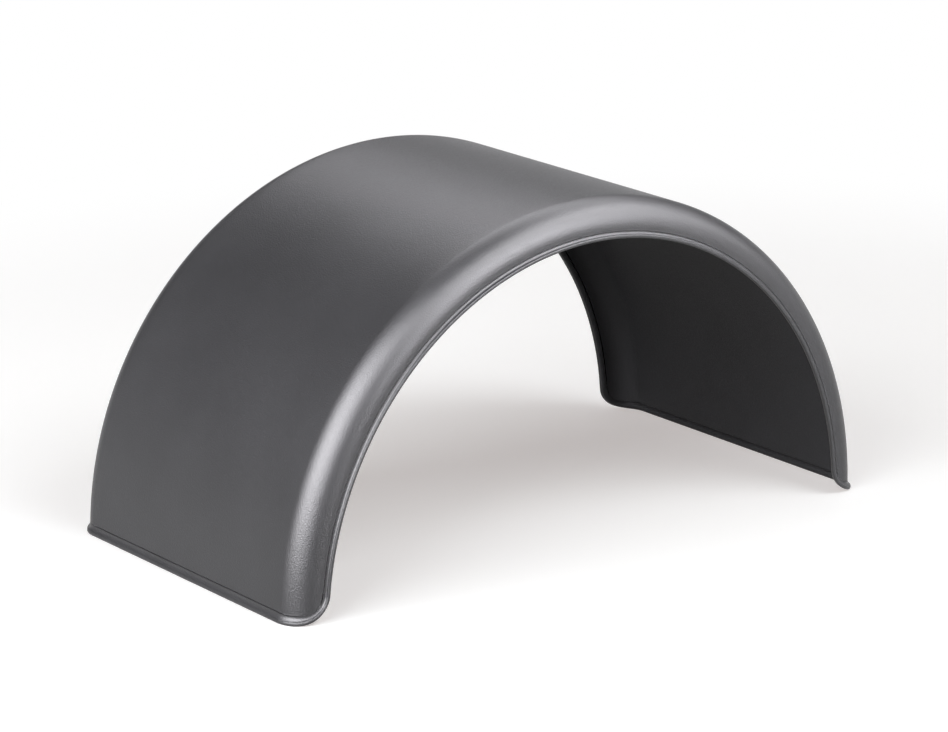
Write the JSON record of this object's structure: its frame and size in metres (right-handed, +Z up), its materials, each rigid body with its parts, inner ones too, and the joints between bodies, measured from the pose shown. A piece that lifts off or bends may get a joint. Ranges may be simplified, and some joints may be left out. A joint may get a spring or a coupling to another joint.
{
  "type": "trailer mudguard",
  "caption": "Half-round trailer mudguard moulded in one piece, with a flat tread, rolled shoulders, shallow side walls and a turned-out lip round the whole free edge.",
  "frame": {"origin": "on the plane that the feet stand on, midway between the feet and midway between the side walls", "axes": "+X along the trailer, across the arch's span; +Y across the tread, along the wheel's axle; +Z up to the crown"},
  "size_m": [0.7768, 0.4058, 0.3835],
  "materials": {
    "guard_plastic": "satin moulded with a fine grain"
  },
  "bodies": {
    "root": {"mudguard": "guard_plastic"}
  },
  "joints": []
}
